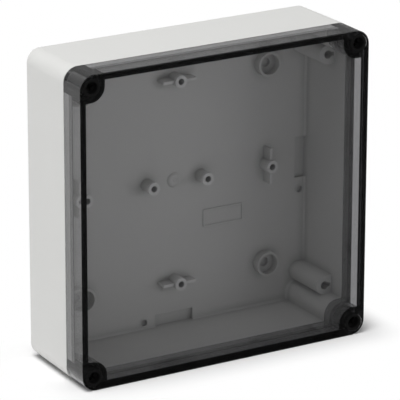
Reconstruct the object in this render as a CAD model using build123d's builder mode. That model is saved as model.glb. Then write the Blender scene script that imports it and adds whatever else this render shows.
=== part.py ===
from build123d import *
import os
from math import atan, degrees

# A wall-mounting polycarbonate enclosure: a light grey moulded base, and a smoked see-through lid that four
# captive screws hold against a foam seal. Millimetres. The origin is the centre of the back face, +X is to
# the right, +Z is up and the lid faces -Y. Every level below is a height above the back face, towards -Y.

# Outside
width = 182.0
height = 180.0
depth = 63.0
lid_depth = 19.0
seam_gap = 0.3
corner_radius = 8.5
back_inset = 0.7
back_chamfer = 1.0
lid_chamfer = 0.3
rim_chamfer = 0.3

# Walls
floor_thickness = 2.8
base_wall = 3.9
floor_chamfer = 1.0
lid_plate = 2.8
lid_wall = 4.2

# Seal: the base's tongue stands in a groove of the lid's wall and presses on the foam at its bottom
inner_skirt = 1.2
groove_width = 1.4
groove_depth = 8.0
tongue_clearance = 0.2
gasket_thickness = 3.3
gasket_clearance = 0.05

# Lid screws, in wells through the lid's corner lugs, outside the seal. The neck is as long as the thread's
# travel, so that an undone screw stops with its thread against the web at the bottom of its well.
screw_inset_x = 7.0
screw_inset_z = 7.4
lug_radius = 8.8
lug_root_radius = 2.0
well_radius = 5.2
web_thickness = 2.5
web_hole_clearance = 0.35
head_clearance = 0.2
head_sink = 0.3
neck_radius = 2.4
thread_radius = 3.0
thread_length = 8.0
thread_pitch = 3.0
release_turns = 2.25
column_fit = 0.08
column_spare_depth = 1.5
socket_radius = 3.5
socket_depth = 3.2
slot_width = 1.4
cross_length = 5.4
cross_depth = 2.2
slot_turns = {"top_left": 12, "top_right": 68, "bottom_left": -34, "bottom_right": 41}

# Pillars on the floor
pillar_height = 8.7
pillar_radius = 3.7
pillar_hole_radius = 1.85
pillar_hole_depth = 8.2
rail_pillar_spacing = 35.0
plate_pillar_circle = 120.0
web_length = 21.0
web_width = 1.6
web_drop = 1.6

# Cups over the four wall-fixing points
cup_spacing = 120.0
cup_height = 5.2
cup_radius = 7.3
cup_wall = 1.3
fixing_hole_radius = 2.8
membrane = 0.8

# Tall pillars beside the side walls
tall_inset_x = 8.5
tall_inset_z = 21.0
tall_height = 30.2
tall_radius = 5.6
tall_hole_radius = 2.5
tall_hole_depth = 14.0
tall_slot_width = 2.5
tall_slot_reach = 3.8

# Pockets in the floor at the middle of each side, thin enough to break out, each with a dimple beside it
pocket_length = 24.6
pocket_width = 7.0
pocket_depth = 1.8
dimple_radius = 2.0
dimple_depth = 1.8
dimple_inset = 7.6
dimple_offset = 19.6

# What follows from them
base_depth = depth - lid_depth
lid_rear = base_depth + seam_gap
plate_rear = depth - lid_plate
screw_x = width / 2 - screw_inset_x
screw_z = height / 2 - screw_inset_z
groove_inner = inner_skirt
groove_outer = inner_skirt + groove_width
tongue_inner = groove_inner + tongue_clearance
tongue_outer = groove_outer - tongue_clearance
tongue_top = lid_rear + groove_depth - gasket_thickness
well_floor = lid_rear + web_thickness
web_hole_radius = neck_radius + web_hole_clearance
head_top = depth - head_sink
socket_floor = head_top - socket_depth
head_radius = well_radius - head_clearance
thread_top = lid_rear - thread_pitch * release_turns
thread_end = thread_top - thread_length
column_bore_radius = thread_radius + column_fit
column_bore_depth = base_depth - thread_end + column_spare_depth
pillar_top = floor_thickness + pillar_height
tall_top = floor_thickness + tall_height
inner_x = width / 2 - base_wall
inner_z = height / 2 - base_wall
tall_x = width / 2 - tall_inset_x
tall_z = height / 2 - tall_inset_z
dimple_x = width / 2 - dimple_inset
dimple_z = height / 2 - dimple_inset


def level(above_back):
    return Plane.XZ.offset(above_back)


def corners(x, z):
    return {
        "top_left": (-x, z),
        "top_right": (x, z),
        "bottom_left": (-x, -z),
        "bottom_right": (x, -z),
    }


screw_points = corners(screw_x, screw_z)
cup_points = list(corners(cup_spacing / 2, cup_spacing / 2).values())
tall_points = list(corners(tall_x, tall_z).values())
rail_points = [(-rail_pillar_spacing / 2, 0), (rail_pillar_spacing / 2, 0)]
side_points = [(-plate_pillar_circle / 2, 0), (plate_pillar_circle / 2, 0)]
end_points = [(0, -plate_pillar_circle / 2), (0, plate_pillar_circle / 2)]
dimple_points = [
    (dimple_x, -dimple_offset),
    (-dimple_offset, -dimple_z),
    (-dimple_x, dimple_offset),
    (dimple_offset, dimple_z),
]


def outline(inset=0.0):
    # Outside of the seam, or the same shape set in by an even amount.
    with BuildSketch(mode=Mode.PRIVATE) as area:
        RectangleRounded(width - 2 * inset, height - 2 * inset, corner_radius - inset)
    return area.sketch


def sealed_area(grow=0.0):
    # Inside of the lid's skirt, grown outwards: a rectangle that steps in round the four screw lugs.
    across = width / 2 - lid_wall + grow
    up = height / 2 - lid_wall + grow
    lug = lug_radius - grow
    with BuildSketch(mode=Mode.PRIVATE) as area:
        Rectangle(2 * across, 2 * up)
        lug_across = across - screw_x + lug
        lug_up = up - screw_z + lug
        with Locations(*corners(across - lug_across / 2, up - lug_up / 2).values()):
            Rectangle(lug_across, lug_up, mode=Mode.SUBTRACT)
        lug_vertices = area.vertices().filter_by(lambda v: abs(v.X) < screw_x and abs(v.Y) < screw_z)
        root_vertices = area.vertices().filter_by(lambda v: abs(v.X) > screw_x or abs(v.Y) > screw_z)
        fillet(lug_vertices, lug)
        fillet(root_vertices, lug_root_radius + grow)
    return area.sketch


def seal_band(inner, outer):
    with BuildSketch(mode=Mode.PRIVATE) as band:
        add(sealed_area(outer))
        add(sealed_area(inner), mode=Mode.SUBTRACT)
    return band.sketch


def edges_at(solid, above_back):
    return solid.edges().filter_by_position(Axis.Y, -above_back - 0.01, -above_back + 0.01)


def raise_pillars(points, radius, rise):
    with BuildSketch(level(floor_thickness)) as feet:
        with Locations(*points):
            Circle(radius)
    extrude(feet.sketch, amount=rise)


def sink_holes(points, radius, mouth, hole_depth):
    with BuildSketch(level(mouth)) as mouths:
        with Locations(*points):
            Circle(radius)
    extrude(mouths.sketch, amount=-hole_depth, mode=Mode.SUBTRACT)


# Base
with BuildPart() as base:
    # Outer block, chamfered at the back and the rim, its sides leaning in from the seam to the back
    rim_start = base_depth - rim_chamfer
    lean_rise = rim_start - back_chamfer
    with BuildSketch(level(0)):
        add(outline(back_inset + back_chamfer))
    extrude(amount=back_chamfer, taper=-45)
    with BuildSketch(level(back_chamfer)):
        add(outline(back_inset))
    extrude(amount=lean_rise, taper=-degrees(atan(back_inset / lean_rise)))
    with BuildSketch(level(rim_start)):
        add(outline())
    extrude(amount=rim_chamfer, taper=45)

    # Hollow, leaving the floor, the walls and the four screw columns
    with BuildSketch(level(floor_thickness)):
        add(sealed_area(lid_wall - base_wall))
    extrude(amount=base_depth - floor_thickness, mode=Mode.SUBTRACT)
    chamfer(edges_at(base, floor_thickness), floor_chamfer)

    # Sealing tongue, running round inside the screw columns
    with BuildSketch(level(base_depth)):
        add(seal_band(tongue_inner, tongue_outer))
    extrude(amount=tongue_top - base_depth)

    # Threaded bores in the screw columns
    sink_holes(screw_points.values(), column_bore_radius, base_depth, column_bore_depth)

    # Plain pillars for a rail, and webbed pillars for a mounting plate
    raise_pillars(rail_points + side_points + end_points, pillar_radius, pillar_height)
    with BuildSketch(level(floor_thickness)):
        with Locations(*side_points):
            Rectangle(web_width, web_length)
        with Locations(*end_points):
            Rectangle(web_length, web_width)
    extrude(amount=pillar_height - web_drop)
    sink_holes(rail_points + side_points + end_points, pillar_hole_radius, pillar_top, pillar_hole_depth)

    # Cups round the wall-fixing points, each with a thin membrane left to pierce
    raise_pillars(cup_points, cup_radius, cup_height)
    sink_holes(cup_points, cup_radius - cup_wall, floor_thickness + cup_height, cup_height)
    sink_holes(cup_points, fixing_hole_radius, floor_thickness, floor_thickness - membrane)

    # Tall pillars, joined to the side walls and keyed with a slot towards them
    with BuildSketch(level(floor_thickness)):
        with Locations(*tall_points):
            Circle(tall_radius)
        root = width / 2 - base_wall / 2 - tall_x
        with Locations(*corners(tall_x + root / 2, tall_z).values()):
            Rectangle(root, 2 * tall_radius)
    extrude(amount=tall_height)
    sink_holes(tall_points, tall_hole_radius, tall_top, tall_hole_depth)
    with BuildSketch(level(tall_top)):
        with Locations(*corners(tall_x + tall_slot_reach / 2, tall_z).values()):
            Rectangle(tall_slot_reach, tall_slot_width)
    extrude(amount=-tall_hole_depth, mode=Mode.SUBTRACT)

    # Pockets along the walls, and the dimples
    with BuildSketch(level(floor_thickness + floor_chamfer)):
        with Locations((-inner_x + pocket_width / 2, 0), (inner_x - pocket_width / 2, 0)):
            Rectangle(pocket_width, pocket_length)
        with Locations((0, -inner_z + pocket_width / 2), (0, inner_z - pocket_width / 2)):
            Rectangle(pocket_length, pocket_width)
    extrude(amount=-floor_chamfer - pocket_depth, mode=Mode.SUBTRACT)
    sink_holes(dimple_points, dimple_radius, floor_thickness, dimple_depth)
base.part.label = "base"

# Lid
with BuildPart() as lid:
    with BuildSketch(level(lid_rear)):
        add(outline())
    extrude(amount=depth - lid_rear)
    chamfer(edges_at(lid, depth), lid_chamfer)

    # Hollow behind the plate, stepping in round the four lugs
    with BuildSketch(level(lid_rear)):
        add(sealed_area())
    extrude(amount=plate_rear - lid_rear, mode=Mode.SUBTRACT)

    # Sealing groove
    with BuildSketch(level(lid_rear)):
        add(seal_band(groove_inner, groove_outer))
    extrude(amount=groove_depth, mode=Mode.SUBTRACT)

    # Screw wells, each with a web at the bottom that the head seats on
    sink_holes(screw_points.values(), well_radius, depth, depth - well_floor)
    sink_holes(screw_points.values(), web_hole_radius, well_floor, web_thickness)
lid.part.label = "lid"

# Gasket, foamed into the bottom of the lid's groove
with BuildPart() as gasket:
    with BuildSketch(level(tongue_top)):
        add(seal_band(groove_inner + gasket_clearance, groove_outer - gasket_clearance))
    extrude(amount=gasket_thickness)
gasket.part.label = "gasket"


def lid_screw(corner):
    # Head with a cross in its socket, neck that leaves the screw loose in the web once undone, and thread.
    x, z = screw_points[corner]
    with BuildPart() as screw:
        with BuildSketch(level(well_floor)) as seat:
            with Locations((x, z)):
                Circle(head_radius)
        extrude(seat.sketch, amount=head_top - well_floor)
        with BuildSketch(level(thread_top)) as shoulder:
            with Locations((x, z)):
                Circle(neck_radius)
        extrude(shoulder.sketch, amount=well_floor - thread_top)
        with BuildSketch(level(thread_end)) as tip:
            with Locations((x, z)):
                Circle(thread_radius)
        extrude(tip.sketch, amount=thread_length)
        sink_holes([(x, z)], socket_radius, head_top, socket_depth)
        with BuildSketch(level(socket_floor)) as recess:
            with Locations(Location((x, z), slot_turns[corner])):
                Rectangle(cross_length, slot_width)
                Rectangle(slot_width, cross_length)
        extrude(recess.sketch, amount=-cross_depth, mode=Mode.SUBTRACT)
    screw.part.label = "lid_screw_" + corner
    return screw.part


lid_screws = [lid_screw(corner) for corner in screw_points]

os.makedirs("parts", exist_ok=True)
for piece in [base.part, lid.part, gasket.part] + lid_screws:
    export_step(piece, "parts/" + piece.label + ".step")
    box = piece.bounding_box()
    print(piece.label, "volume", round(piece.volume), "from", box.min, "to", box.max)
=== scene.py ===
import math
import bpy
import bmesh
from mathutils import Matrix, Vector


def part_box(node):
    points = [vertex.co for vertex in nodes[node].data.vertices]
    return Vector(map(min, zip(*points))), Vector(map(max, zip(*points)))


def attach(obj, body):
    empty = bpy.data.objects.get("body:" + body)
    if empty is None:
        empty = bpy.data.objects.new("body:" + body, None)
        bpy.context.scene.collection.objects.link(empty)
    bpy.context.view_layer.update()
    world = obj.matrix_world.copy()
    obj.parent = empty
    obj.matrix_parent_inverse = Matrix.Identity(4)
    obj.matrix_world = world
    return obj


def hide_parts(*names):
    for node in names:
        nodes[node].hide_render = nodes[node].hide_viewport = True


# A wall-mounting polycarbonate enclosure: light grey base, smoked lid, foam seal and four black lid screws.
# The origin is the centre of the back face, which lies on the wall, and the lid faces -Y.

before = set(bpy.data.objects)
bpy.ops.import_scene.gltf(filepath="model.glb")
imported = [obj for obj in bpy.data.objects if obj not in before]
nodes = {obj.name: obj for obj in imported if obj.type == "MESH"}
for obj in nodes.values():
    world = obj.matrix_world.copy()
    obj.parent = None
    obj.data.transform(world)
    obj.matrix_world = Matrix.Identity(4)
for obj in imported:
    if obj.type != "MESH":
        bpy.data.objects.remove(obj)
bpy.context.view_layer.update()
scene = bpy.context.scene
scene.view_settings.view_transform = "Standard"
mm = 0.001

# Camera

cameraSettings = {
    "place": (-0.9010, -1.5657, 0.6112),
    "turn": -30.454,  # degrees about the vertical, 0 looks along +Y
    "tilt": -19.067,  # degrees below the level
    "roll": 0.12,
    "focus": 3381.7,  # focal length in pixels
    "frameWidth": 400,
    "sensor": 36,
}


def placeCamera(settings):
    lens = bpy.data.cameras.new("camera")
    lens.sensor_width = settings["sensor"]
    lens.lens = settings["focus"] / settings["frameWidth"] * settings["sensor"]
    lens.clip_end = 50
    camera = bpy.data.objects.new("camera", lens)
    scene.collection.objects.link(camera)
    turned = Matrix.Rotation(math.radians(settings["turn"]), 4, "Z")
    tilted = Matrix.Rotation(math.radians(90 + settings["tilt"]), 4, "X")
    rolled = Matrix.Rotation(math.radians(settings["roll"]), 4, "Z")
    camera.matrix_world = Matrix.Translation(settings["place"]) @ turned @ tilted @ rolled
    scene.camera = camera


placeCamera(cameraSettings)
print("camera placed")

# Node helpers


def addNode(tree, kind, **settings):
    made = tree.nodes.new("ShaderNode" + kind)
    for name, value in settings.items():
        setattr(made, name, value)
    return made


def setSockets(made, **values):
    for name, value in values.items():
        made.inputs[name.replace("_", " ")].default_value = value
    return made


def join(tree, source, target):
    tree.links.new(source, target)


def startMaterial(name):
    material = bpy.data.materials.new(name)
    material.use_nodes = True
    tree = material.node_tree
    return material, tree, tree.nodes["Principled BSDF"]


def startGroup(name, inputs, outputs):
    group = bpy.data.node_groups.new(name, "ShaderNodeTree")
    for socket, value in inputs.items():
        made = group.interface.new_socket(socket, in_out="INPUT", socket_type="NodeSocketFloat")
        made.default_value = value
    for socket in outputs:
        group.interface.new_socket(socket, in_out="OUTPUT", socket_type="NodeSocketFloat")
    start = group.nodes.new("NodeGroupInput")
    end = group.nodes.new("NodeGroupOutput")
    return group, start, end


def placeGroup(tree, group, **values):
    made = tree.nodes.new("ShaderNodeGroup")
    made.node_tree = group
    return setSockets(made, **values)


# Spark-eroded grain of a moulding tool, with the slow drift in tone that flowing plastic leaves


def makeMouldGrain():
    scales = {"Grain Scale": 2600.0, "Drift Scale": 22.0}
    group, start, end = startGroup("mouldGrain", scales, ["Grain", "Drift"])
    place = addNode(group, "TexCoord")
    fine = setSockets(addNode(group, "TexNoise"), Detail=3.0, Roughness=0.62)
    pits = setSockets(addNode(group, "TexVoronoi", feature="SMOOTH_F1"), Smoothness=0.7)
    drift = setSockets(addNode(group, "TexNoise"), Detail=2.0, Roughness=0.5, Distortion=0.4)
    both = setSockets(addNode(group, "Mix"), Factor=0.4)
    join(group, place.outputs["Object"], fine.inputs["Vector"])
    join(group, place.outputs["Object"], pits.inputs["Vector"])
    join(group, place.outputs["Object"], drift.inputs["Vector"])
    join(group, start.outputs["Grain Scale"], fine.inputs["Scale"])
    join(group, start.outputs["Grain Scale"], pits.inputs["Scale"])
    join(group, start.outputs["Drift Scale"], drift.inputs["Scale"])
    join(group, fine.outputs["Fac"], both.inputs["A"])
    join(group, pits.outputs["Distance"], both.inputs["B"])
    join(group, both.outputs["Result"], end.inputs["Grain"])
    join(group, drift.outputs["Fac"], end.inputs["Drift"])
    return group


# Handling marks: faint wiped patches


def makeHandling():
    group, start, end = startGroup("handling", {"Patch Scale": 30.0}, ["Patches"])
    place = addNode(group, "TexCoord")
    wiped = addNode(group, "Mapping")
    wiped.inputs["Rotation"].default_value = (0.0, math.radians(35), 0.0)
    wiped.inputs["Scale"].default_value = (1.0, 1.0, 2.6)
    patches = setSockets(addNode(group, "TexNoise"), Detail=5.0, Roughness=0.6, Distortion=0.8)
    patchRange = setSockets(addNode(group, "MapRange"), From_Min=0.42, From_Max=0.78)
    join(group, place.outputs["Object"], wiped.inputs["Vector"])
    join(group, wiped.outputs["Vector"], patches.inputs["Vector"])
    join(group, start.outputs["Patch Scale"], patches.inputs["Scale"])
    join(group, patches.outputs["Fac"], patchRange.inputs["Value"])
    join(group, patchRange.outputs["Result"], end.inputs["Patches"])
    return group


mouldGrain = makeMouldGrain()
handling = makeHandling()


def mixTones(tree, mask, low, high):
    # low and high are each a colour, or an output that gives one
    made = addNode(tree, "Mix", data_type="RGBA")
    sockets = [s for s in made.inputs if s.type == "RGBA"]
    for socket, tone in zip(sockets, (low, high)):
        if isinstance(tone, bpy.types.NodeSocket):
            join(tree, tone, socket)
        else:
            socket.default_value = (*tone, 1)
    join(tree, mask, made.inputs["Factor"])
    return next(s for s in made.outputs if s.type == "RGBA")


def mapTo(tree, mask, low, high):
    made = setSockets(addNode(tree, "MapRange"), To_Min=low, To_Max=high)
    join(tree, mask, made.inputs["Value"])
    return made.outputs["Result"]


def addBump(tree, height, shader, strength, distance):
    made = setSockets(addNode(tree, "Bump"), Strength=strength, Distance=distance)
    join(tree, height, made.inputs["Height"])
    join(tree, made.outputs["Normal"], shader.inputs["Normal"])


def placeGrain(tree, settings):
    scales = {"Grain_Scale": settings["grainScale"], "Drift_Scale": settings["driftScale"]}
    return placeGroup(tree, mouldGrain, **scales)


polycarbonateIor = 1.58

# Light grey polycarbonate of the base

shellSettings = {
    "grainScale": 2600.0,
    "driftScale": 22.0,
    "shade": (0.655, 0.655, 0.640),
    "light": (0.685, 0.685, 0.670),
    # painted highlight: the pillars' and webs' tips get this lighter colour
    "tip": (0.80, 0.80, 0.79),
    "tipLevel": (-12.0 * mm, -9.7 * mm),
    "tipReach": 70 * mm,
    "corner": {"reach": 6 * mm, "shade": 0.42, "samples": 12},  # painted shade, darker in inner corners and beside the lid and other pieces
    "roughness": (0.40, 0.52),
    "bump": (0.22, 0.03 * mm),
}


def maskPaintedLightTips(tree, settings):
    # 1 on the tips of the floor's pillars and webs, which get a lighter colour there: a painted highlight
    place = addNode(tree, "TexCoord")
    parts = addNode(tree, "SeparateXYZ")
    join(tree, place.outputs["Object"], parts.inputs[0])
    low, high = settings["tipLevel"]
    mask = addNode(tree, "Math", operation="COMPARE")
    mask.inputs[1].default_value = (low + high) / 2
    mask.inputs[2].default_value = (high - low) / 2
    join(tree, parts.outputs["Y"], mask.inputs[0])
    for axis in ("X", "Z"):
        near = addNode(tree, "Math", operation="COMPARE")
        near.inputs[1].default_value = 0.0
        near.inputs[2].default_value = settings["tipReach"]
        both = addNode(tree, "Math", operation="MULTIPLY")
        join(tree, parts.outputs[axis], near.inputs[0])
        join(tree, mask.outputs[0], both.inputs[0])
        join(tree, near.outputs[0], both.inputs[1])
        mask = both
    return mask.outputs[0]


def makeShell(settings):
    material, tree, shader = startMaterial("greyShell")
    grain = placeGrain(tree, settings)
    tone = mixTones(tree, grain.outputs["Drift"], settings["shade"], settings["light"])
    # Painted highlight: the tips of the pillars and webs are lightened
    tipped = mixTones(tree, maskPaintedLightTips(tree, settings), tone, settings["tip"])
    corner = settings["corner"]
    # Painted shade: the colour darkens where other faces, the lid's among them, lie within the reach
    paintedShadeOcclusion = addNode(tree, "AmbientOcclusion", samples=corner["samples"], only_local=False)
    paintedShadeOcclusion.inputs["Distance"].default_value = corner["reach"]
    paintedShadeFactor = mapTo(tree, paintedShadeOcclusion.outputs["AO"], corner["shade"], 1.0)
    paintedShadeColour = addNode(tree, "VectorMath", operation="SCALE")
    join(tree, tipped, paintedShadeColour.inputs[0])
    join(tree, paintedShadeFactor, paintedShadeColour.inputs["Scale"])
    join(tree, paintedShadeColour.outputs["Vector"], shader.inputs["Base Color"])
    join(tree, mapTo(tree, grain.outputs["Grain"], *settings["roughness"]), shader.inputs["Roughness"])
    addBump(tree, grain.outputs["Grain"], shader, *settings["bump"])
    setSockets(shader, IOR=polycarbonateIor)
    return material


# Smoked, polished polycarbonate of the lid

coverSettings = {
    "patchScale": 24.0,
    "absorption": 177.0,  # per metre
    "tint": (0.0, 0.0, 0.02),
    "roughness": (0.0, 0.03),
    "ripple": (0.05, 0.02 * mm),
}


def makeCover(settings):
    material, tree, shader = startMaterial("smokedCover")
    output = tree.nodes["Material Output"]
    marks = placeGroup(tree, handling, Patch_Scale=settings["patchScale"])
    setSockets(shader, Base_Color=(1, 1, 1, 1), Transmission_Weight=1.0, IOR=polycarbonateIor)
    join(tree, mapTo(tree, marks.outputs["Patches"], *settings["roughness"]), shader.inputs["Roughness"])
    addBump(tree, marks.outputs["Patches"], shader, *settings["ripple"])
    # Light from lamps, and light that the inside scatters, goes straight on and is only absorbed
    ray = addNode(tree, "LightPath")
    through = addNode(tree, "Math", operation="MAXIMUM")
    clear = addNode(tree, "BsdfTransparent")
    mix = addNode(tree, "MixShader")
    smoke = addNode(tree, "VolumeAbsorption")
    smoke.inputs["Color"].default_value = (*settings["tint"], 1)
    smoke.inputs["Density"].default_value = settings["absorption"]
    join(tree, ray.outputs["Is Shadow Ray"], through.inputs[0])
    join(tree, ray.outputs["Is Diffuse Ray"], through.inputs[1])
    join(tree, through.outputs[0], mix.inputs["Fac"])
    join(tree, shader.outputs[0], mix.inputs[1])
    join(tree, clear.outputs[0], mix.inputs[2])
    join(tree, mix.outputs[0], output.inputs["Surface"])
    join(tree, smoke.outputs[0], output.inputs["Volume"])
    return material


# Foamed-in seal

foamSettings = {
    "grainScale": 1500.0,
    "driftScale": 60.0,
    "cell": (0.03, 0.03, 0.03),
    "skin": (0.085, 0.085, 0.083),
    "roughness": (0.75, 0.95),
    "bump": (0.5, 0.12 * mm),
}


def makeFoam(settings):
    material, tree, shader = startMaterial("foam")
    grain = placeGrain(tree, settings)
    tone = mixTones(tree, grain.outputs["Grain"], settings["cell"], settings["skin"])
    join(tree, tone, shader.inputs["Base Color"])
    join(tree, mapTo(tree, grain.outputs["Drift"], *settings["roughness"]), shader.inputs["Roughness"])
    addBump(tree, grain.outputs["Grain"], shader, *settings["bump"])
    return material


# Black polyamide of the lid screws

blackSettings = {
    "grainScale": 3400.0,
    "driftScale": 180.0,
    "shade": (0.003, 0.003, 0.003),
    "light": (0.006, 0.006, 0.006),
    "roughness": (0.55, 0.70),
    "bump": (0.25, 0.02 * mm),
    "ior": 1.53,
    "specular": 0.2,
}


def makeBlackScrew(settings):
    material, tree, shader = startMaterial("blackScrew")
    grain = placeGrain(tree, settings)
    tone = mixTones(tree, grain.outputs["Drift"], settings["shade"], settings["light"])
    join(tree, tone, shader.inputs["Base Color"])
    join(tree, mapTo(tree, grain.outputs["Grain"], *settings["roughness"]), shader.inputs["Roughness"])
    addBump(tree, grain.outputs["Grain"], shader, *settings["bump"])
    setSockets(shader, IOR=settings["ior"], Specular_IOR_Level=settings["specular"])
    return material


greyShell = makeShell(shellSettings)
smokedCover = makeCover(coverSettings)
foam = makeFoam(foamSettings)
blackScrew = makeBlackScrew(blackSettings)

for name, material in {"base": greyShell, "lid": smokedCover, "gasket": foam}.items():
    nodes[name].material_slots[0].material = material
print("materials made")

# Modelling helpers

straight = 0.9  # a normal with this share along an axis counts as facing along it
hair = 0.001 * mm
sharpAngle = math.radians(35)  # edges that turn by more are rounded, and stay crisp in the shading


def clearSelection():
    bpy.ops.object.select_all(action="DESELECT")


def pick(piece):
    clearSelection()
    bpy.context.view_layer.objects.active = piece
    piece.select_set(True)


def startEditing(piece):
    pick(piece)
    bpy.ops.object.mode_set(mode="EDIT")


def stopEditing():
    bpy.ops.object.mode_set(mode="OBJECT")


def select(piece, kind, wanted):
    bpy.ops.mesh.select_mode(type=kind)
    bpy.ops.mesh.select_all(action="DESELECT")
    shape = bmesh.from_edit_mesh(piece.data)
    for part in shape.faces if kind == "FACE" else shape.edges:
        part.select_set(wanted(part))
    bmesh.update_edit_mesh(piece.data)


def selectTop(piece):
    select(piece, "FACE", lambda face: face.normal.z > straight)


def selectFoot(piece):
    select(piece, "FACE", lambda face: face.normal.z < -straight)


def settle(name):
    # Names the piece that was just added and puts its place and size into its mesh
    bpy.ops.object.transform_apply(location=True, rotation=True, scale=True)
    piece = bpy.context.object
    piece.name = name
    return piece


def addCylinder(name, radius, low, high, sides=64):
    clearSelection()
    middle = (0, 0, (low + high) / 2)
    bpy.ops.mesh.primitive_cylinder_add(vertices=sides, radius=radius, depth=high - low, location=middle)
    return settle(name)


def addBlock(name, size, low, high):
    clearSelection()
    middle = (0, 0, (low + high) / 2)
    bpy.ops.mesh.primitive_cube_add(size=1, location=middle, scale=(*size, high - low))
    return settle(name)


def sinkTop(piece, border, depth):
    # Leaves a border round the highest face and pushes what is inside it down
    startEditing(piece)
    shape = bmesh.from_edit_mesh(piece.data)
    highest = max(face.calc_center_median().z for face in shape.faces if face.normal.z > straight)
    select(piece, "FACE", lambda f: f.normal.z > straight and f.calc_center_median().z > highest - hair)
    pushSelected(border, depth)
    stopEditing()


def pushSelected(border, depth):
    # Against z, or along it where the depth is negative
    bpy.ops.mesh.inset(thickness=border, depth=0)
    bpy.ops.mesh.extrude_region_move(TRANSFORM_OT_translate={"value": (0, 0, -depth)})


def applyModifier(piece, kind, **settings):
    pick(piece)
    made = piece.modifiers.new(kind.lower(), kind)
    for name, value in settings.items():
        setattr(made, name, value)
    bpy.ops.object.modifier_apply(modifier=made.name)


def roundEdges(piece, width):
    applyModifier(piece, "BEVEL", width=width, segments=2, limit_method="ANGLE", angle_limit=sharpAngle)


def cutWith(piece, cutter, operation="DIFFERENCE"):
    applyModifier(piece, "BOOLEAN", object=cutter, operation=operation, solver="EXACT")
    bpy.data.objects.remove(cutter)


def faceFront(piece, x, front, z, turn=0.0):
    # Turns a piece that was modelled upright so that its top faces -Y, and moves it to its place
    placed = Matrix.Translation((x, front, z)) @ Matrix.Rotation(math.radians(90), 4, "X")
    piece.matrix_world = placed @ Matrix.Rotation(math.radians(turn), 4, "Z")
    pick(piece)
    bpy.ops.object.transform_apply(location=True, rotation=True, scale=True)
    bpy.ops.object.shade_smooth_by_angle(angle=sharpAngle)


def copyPiece(piece, name):
    made = piece.copy()
    made.data = piece.data.copy()
    made.name = name
    scene.collection.objects.link(made)
    return made


def dress(piece, material, body):
    piece.data.materials.clear()
    piece.data.materials.append(material)
    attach(piece, body)


# Lid screws: a head with a socket and a cross, a long plain neck and a coarse thread

screwSettings = {
    "headHeight": 15.9 * mm,
    "crown": 0.28 * mm,  # how much higher and wider the head is, as it fills its well in the lid
    "swell": 0.16 * mm,
    "socket": {"radius": 3.5 * mm, "depth": 3.2 * mm},
    "cross": {"length": 5.4 * mm, "width": 1.4 * mm, "depth": 2.2 * mm, "foot": 0.72},
    "neckRadius": 2.4 * mm,
    "overlap": 0.4 * mm,  # how far the neck and thread, and the cross and socket, reach into each other
    "edge": 0.12 * mm,
    "thread": {"length": 8.0 * mm, "pitch": 3.0 * mm, "outer": 3.0 * mm, "inner": 2.3 * mm,
               "lead": 0.7 * mm, "sides": 48},
    "turns": {"top_left": 12, "top_right": 68, "bottom_left": -34, "bottom_right": 41},  # degrees
}


def drawProfile(name, points):
    # A bare line from point to point, drawn from one vertex
    clearSelection()
    bpy.ops.mesh.primitive_plane_add(size=mm, location=(0, 0, 0))
    piece = bpy.context.object
    piece.name = name
    startEditing(piece)
    bpy.ops.mesh.merge(type="CENTER")
    bpy.ops.transform.translate(value=points[0])
    for before, after in zip(points, points[1:]):
        step = tuple(b - a for a, b in zip(before, after))
        bpy.ops.mesh.extrude_vertices_move(TRANSFORM_OT_translate={"value": step})
    stopEditing()
    return piece


def makeThread(settings, overlap):
    # The ridge's outline over one pitch is turned into a helix, which a chamfered blank trims to its length
    length, pitch, sides = settings["length"], settings["pitch"], settings["sides"]
    ridge = [(0.0, "inner"), (0.22, "inner"), (0.42, "outer"),
             (0.58, "outer"), (0.78, "inner"), (1.0, "inner")]
    low = -length - 2 * pitch
    turns = math.ceil(length / pitch) + 2
    spare = 0.2 * mm  # how far the helix reaches past the blank
    rod = drawProfile("threadRod", [(settings[side], 0, low + share * pitch) for share, side in ridge])
    applyModifier(rod, "SCREW", angle=math.tau, screw_offset=pitch, iterations=turns, steps=sides,
                  render_steps=sides, axis="Z")
    startEditing(rod)
    bpy.ops.mesh.select_all(action="SELECT")
    bpy.ops.mesh.remove_doubles(threshold=10 * hair)
    for height, up in ((overlap + spare, True), (-length - spare, False)):
        bpy.ops.mesh.select_all(action="SELECT")
        bpy.ops.mesh.bisect(plane_co=(0, 0, height), plane_no=(0, 0, 1), use_fill=True,
                            clear_outer=up, clear_inner=not up)
    bpy.ops.mesh.select_all(action="SELECT")
    bpy.ops.mesh.normals_make_consistent(inside=False)
    stopEditing()
    play = 0.05 * mm  # keeps the blank's wall off the ridge
    blank = addCylinder("threadBlank", settings["outer"] + play, -length, overlap)
    startEditing(blank)
    selectFoot(blank)
    bpy.ops.mesh.bevel(offset=settings["lead"], segments=1, affect="EDGES")
    stopEditing()
    cutWith(rod, blank, "INTERSECT")
    return rod


def makeScrew(settings, headRadius, neckLength):
    # Upright, with the head's seat at height 0
    top = settings["headHeight"] + settings["crown"]
    socket, cross, overlap = settings["socket"], settings["cross"], settings["overlap"]
    screw = addCylinder("lidScrew", headRadius, 0, top)
    sinkTop(screw, headRadius - socket["radius"], socket["depth"])
    startEditing(screw)
    selectFoot(screw)
    pushSelected(headRadius - settings["neckRadius"], neckLength + overlap)
    stopEditing()
    roundEdges(screw, settings["edge"])
    socketFloor = top - socket["depth"]
    for size in ((cross["length"], cross["width"]), (cross["width"], cross["length"])):
        arm = addBlock("crossArm", size, socketFloor - cross["depth"], socketFloor + overlap)
        startEditing(arm)
        selectFoot(arm)
        bpy.ops.transform.resize(value=(cross["foot"], cross["foot"], 1))
        stopEditing()
        cutWith(screw, arm)
    thread = makeThread(settings["thread"], overlap)
    for vertex in thread.data.vertices:
        vertex.co.z -= neckLength
    cutWith(screw, thread, "UNION")
    return screw


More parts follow.
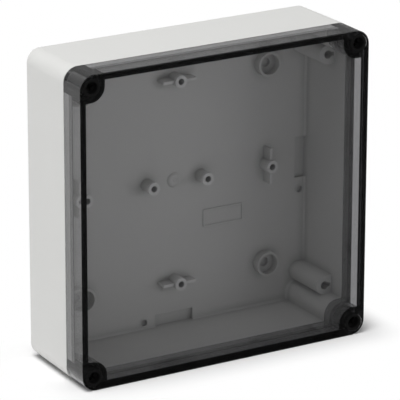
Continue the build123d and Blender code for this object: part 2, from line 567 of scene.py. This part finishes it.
def placeScrews(settings):
    low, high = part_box("lid_screw_top_left")
    headRadius = (high.x - low.x) / 2 + settings["swell"]
    headTop = low.y
    seat = headTop + settings["headHeight"]
    neckLength = (high.y - seat) - settings["thread"]["length"]
    pattern = makeScrew(settings, headRadius, neckLength)
    for corner, turn in settings["turns"].items():
        node = "lid_screw_" + corner
        low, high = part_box(node)
        screw = copyPiece(pattern, "captive_screw_" + corner)
        faceFront(screw, (low.x + high.x) / 2, seat, (low.z + high.z) / 2, turn)
        dress(screw, blackScrew, "screw_" + corner)
        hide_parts(node)
    bpy.data.objects.remove(pattern)


placeScrews(screwSettings)
print("screws made")

# Low relief on the base's floor: the gate mark, collars round the dimples and a plain raised frame

reliefSettings = {
    "floor": -2.8 * mm,
    "root": 0.05 * mm,  # how far each piece reaches below the floor's face
    "gate": {"radius": 4.5 * mm, "rise": 1.0 * mm, "slope": 1.3 * mm, "border": 1.2 * mm, "dish": 0.2 * mm,
             "nub": 0.5 * mm, "point": 0.2 * mm},
    "collar": {"radius": 2.6 * mm, "bore": 2.0 * mm, "rise": 0.35 * mm, "sides": 40,
               "places": ((83.4, -19.6), (-19.6, -82.4), (-83.4, 19.6), (19.6, 82.4))},  # x and z in mm
    "frame": {"size": (26.4 * mm, 10.6 * mm), "line": 0.9 * mm, "rise": 0.5 * mm, "corner": 0.9 * mm,
              "place": (32.3 * mm, -26.4 * mm)},
    "edge": 0.07 * mm,
}


def finishRelief(piece, settings, x, z):
    roundEdges(piece, settings["edge"])
    faceFront(piece, x, settings["floor"], z)
    dress(piece, greyShell, "base")


def makeGateMark(settings):
    # A low boss with a sloping side and a dished top, and in it the stub of the broken-off runner
    gate = settings["gate"]
    mark = addCylinder("gate_mark", gate["radius"], -settings["root"], gate["rise"])
    topRadius = gate["radius"] - gate["slope"]
    narrowed = topRadius / gate["radius"]
    rounding = gate["slope"] / 2
    startEditing(mark)
    selectTop(mark)
    bpy.ops.transform.resize(value=(narrowed, narrowed, 1))
    bpy.ops.mesh.bevel(offset=rounding, segments=4, affect="EDGES")
    stopEditing()
    sinkTop(mark, gate["border"], gate["dish"])
    startEditing(mark)
    select(mark, "FACE", lambda f: f.normal.z > straight and f.calc_center_median().xy.length < gate["nub"])
    pushSelected(topRadius - rounding - gate["border"] - gate["nub"], -gate["point"])
    stopEditing()
    finishRelief(mark, settings, 0, 0)


def makeCollars(settings):
    collar, root = settings["collar"], settings["root"]
    rise, sides = collar["rise"], collar["sides"]
    for number, (x, z) in enumerate(collar["places"], 1):
        piece = addCylinder("dimple_collar_%d" % number, collar["radius"], -root, rise, sides)
        bore = addCylinder("collarBore", collar["bore"], -2 * root, rise + root, sides)
        cutWith(piece, bore)
        finishRelief(piece, settings, x * mm, z * mm)


def makePlainFrame(settings):
    plain, root = settings["frame"], settings["root"]
    piece = addBlock("plain_frame", plain["size"], -root, plain["rise"])
    startEditing(piece)
    # The upright edges
    select(piece, "EDGE", lambda edge: abs(edge.verts[0].co.z - edge.verts[1].co.z) > root)
    bpy.ops.mesh.bevel(offset=plain["corner"], segments=5, affect="EDGES")
    stopEditing()
    sinkTop(piece, plain["line"], plain["rise"] + root / 2)  # to below the floor's face
    finishRelief(piece, settings, *plain["place"])


makeGateMark(reliefSettings)
makeCollars(reliefSettings)
makePlainFrame(reliefSettings)
print("floor relief made")

# Stage: pale floor, white surroundings and soft light

stageSettings = {
    "floorLevel": -90.15 * mm,  # a little clear of the polished lid, which touches it at a few points only
    "floorSize": 12.0,
    "floorColour": (0.93, 0.93, 0.93),
    "white": (1, 1, 1),
    "sky": {"horizon": 0.82, "overhead": 0.0},  # strength of the light that it gives
    "mirrored": {"floor": 0.75, "horizon": 0.1, "overhead": 0.9},  # strength in mirror images
    "clearing": {"middle": (0.0, -31.5 * mm), "half": (91 * mm, 31.5 * mm), "blend": (1 * mm, 26 * mm)},
    # painted reflection: a dark sheet that only mirror images show
    "mat": {"low": (-6.0, -6.0), "high": (6.0, -63.4 * mm), "rise": 0.1 * mm, "colour": (0.08, 0.08, 0.08)},
}


def addSheet(name, low, high, level):
    clearSelection()
    middle = ((low[0] + high[0]) / 2, (low[1] + high[1]) / 2, level)
    bpy.ops.mesh.primitive_plane_add(size=1, location=middle)
    piece = bpy.context.object
    piece.name = name
    piece.scale = (high[0] - low[0], high[1] - low[1], 1)
    bpy.ops.object.transform_apply(location=True, rotation=True, scale=True)
    return piece


def showWhite(tree, kind, settings, mirrored):
    # White surroundings as the camera sees them, straight or through the lid, and weaker in a mirror image
    seen = addNode(tree, kind)
    seen.inputs["Color"].default_value = (*settings["white"], 1)
    ray = addNode(tree, "LightPath")
    reflected = addNode(tree, "Math", operation="GREATER_THAN")
    strength = setSockets(addNode(tree, "Mix"), A=1.0)
    glossy = addNode(tree, "Math", operation="MAXIMUM")
    shown = addNode(tree, "Math", operation="MAXIMUM")
    join(tree, ray.outputs["Is Glossy Ray"], reflected.inputs[0])
    join(tree, ray.outputs["Is Transmission Ray"], reflected.inputs[1])
    join(tree, reflected.outputs[0], strength.inputs["Factor"])
    join(tree, mirrored, strength.inputs["B"])
    join(tree, strength.outputs["Result"], seen.inputs["Strength"])
    join(tree, ray.outputs["Is Glossy Ray"], glossy.inputs[0])
    join(tree, ray.outputs["Is Transmission Ray"], glossy.inputs[1])
    join(tree, glossy.outputs[0], shown.inputs[0])
    join(tree, ray.outputs["Is Camera Ray"], shown.inputs[1])
    return seen.outputs[0], shown.outputs[0]


def makeFloor(settings):
    # Plain near the part, where it keeps the shadow, and white further off
    half = settings["floorSize"] / 2
    floor = addSheet("floor", (-half, -half), (half, half), settings["floorLevel"])
    material, tree, shader = startMaterial("paleFloor")
    output = tree.nodes["Material Output"]
    setSockets(shader, Base_Color=(*settings["floorColour"], 1), Roughness=0.9, Specular_IOR_Level=0.0)
    clearing = settings["clearing"]
    place = addNode(tree, "TexCoord")
    centred = addNode(tree, "VectorMath", operation="SUBTRACT")
    centred.inputs[1].default_value = (*clearing["middle"], 0)
    folded = addNode(tree, "VectorMath", operation="ABSOLUTE")
    beyond = addNode(tree, "VectorMath", operation="SUBTRACT")
    beyond.inputs[1].default_value = (*clearing["half"], 1)  # the 1 leaves the height out
    outside = addNode(tree, "VectorMath", operation="MAXIMUM")
    away = addNode(tree, "VectorMath", operation="LENGTH")
    fade = setSockets(addNode(tree, "MapRange", interpolation_type="SMOOTHSTEP"),
                      From_Min=clearing["blend"][0], From_Max=clearing["blend"][1])
    dimmed = addNode(tree, "Value")
    dimmed.outputs[0].default_value = settings["mirrored"]["floor"]
    seen, shown = showWhite(tree, "Emission", settings, dimmed.outputs[0])
    white = addNode(tree, "Math", operation="MULTIPLY")
    mix = addNode(tree, "MixShader")
    join(tree, place.outputs["Object"], centred.inputs[0])
    join(tree, centred.outputs["Vector"], folded.inputs[0])
    join(tree, folded.outputs["Vector"], beyond.inputs[0])
    join(tree, beyond.outputs["Vector"], outside.inputs[0])
    join(tree, outside.outputs["Vector"], away.inputs[0])
    join(tree, away.outputs["Value"], fade.inputs["Value"])
    join(tree, shown, white.inputs[0])
    join(tree, fade.outputs["Result"], white.inputs[1])
    join(tree, white.outputs[0], mix.inputs["Fac"])
    join(tree, shader.outputs[0], mix.inputs[1])
    join(tree, seen, mix.inputs[2])
    join(tree, mix.outputs[0], output.inputs["Surface"])
    floor.data.materials.append(material)


def makeMat(settings):
    # Lies in front of the part, and only the mirror images on its polished faces show it: a painted dark
    # reflection
    mat = settings["mat"]
    piece = addSheet("paintedReflectionMat", mat["low"], mat["high"], settings["floorLevel"] + mat["rise"])
    material, tree, shader = startMaterial("paintedReflectionMat")
    setSockets(shader, Base_Color=(*mat["colour"], 1), Roughness=1.0, Specular_IOR_Level=0.0)
    piece.data.materials.append(material)
    piece.visible_camera = False
    piece.visible_diffuse = False
    piece.visible_transmission = False
    piece.visible_shadow = False


def makeSky(settings):
    world = bpy.data.worlds.new("softbox")
    scene.world = world
    world.use_nodes = True
    tree = world.node_tree
    background = tree.nodes["Background"]
    background.inputs["Color"].default_value = (*settings["white"], 1)
    place = addNode(tree, "TexCoord")
    parts = addNode(tree, "SeparateXYZ")
    sky = settings["sky"]
    mirrored = settings["mirrored"]
    strength = setSockets(addNode(tree, "MapRange"), To_Min=sky["horizon"], To_Max=sky["overhead"])
    dimmed = setSockets(addNode(tree, "MapRange"), To_Min=mirrored["horizon"], To_Max=mirrored["overhead"])
    seen, shown = showWhite(tree, "Background", settings, dimmed.outputs["Result"])
    mix = addNode(tree, "MixShader")
    join(tree, place.outputs["Generated"], parts.inputs[0])
    join(tree, parts.outputs["Z"], strength.inputs["Value"])
    join(tree, parts.outputs["Z"], dimmed.inputs["Value"])
    join(tree, strength.outputs["Result"], background.inputs["Strength"])
    join(tree, shown, mix.inputs["Fac"])
    join(tree, background.outputs[0], mix.inputs[1])
    join(tree, seen, mix.inputs[2])
    join(tree, mix.outputs[0], tree.nodes["World Output"].inputs["Surface"])


lampSettings = {
    "key": {"place": (-0.68, -0.3, 2.0), "size": 1.0, "power": 39.5},
    "fill": {"place": (1.5, -1.4, 0.25), "size": 1.0, "power": 12.8},
}


def addLamp(name, settings):
    lamp = bpy.data.lights.new(name, "AREA")
    lamp.size = settings["size"]
    lamp.energy = settings["power"]
    obj = bpy.data.objects.new(name, lamp)
    scene.collection.objects.link(obj)
    place = Matrix.Translation(settings["place"])
    toPart = -place.to_translation()
    obj.matrix_world = place @ toPart.to_track_quat("-Z", "Y").to_matrix().to_4x4()
    obj.visible_glossy = False
    obj.visible_transmission = False


makeFloor(stageSettings)
makeMat(stageSettings)
makeSky(stageSettings)
for name, settings in lampSettings.items():
    addLamp(name, settings)
print("stage made")
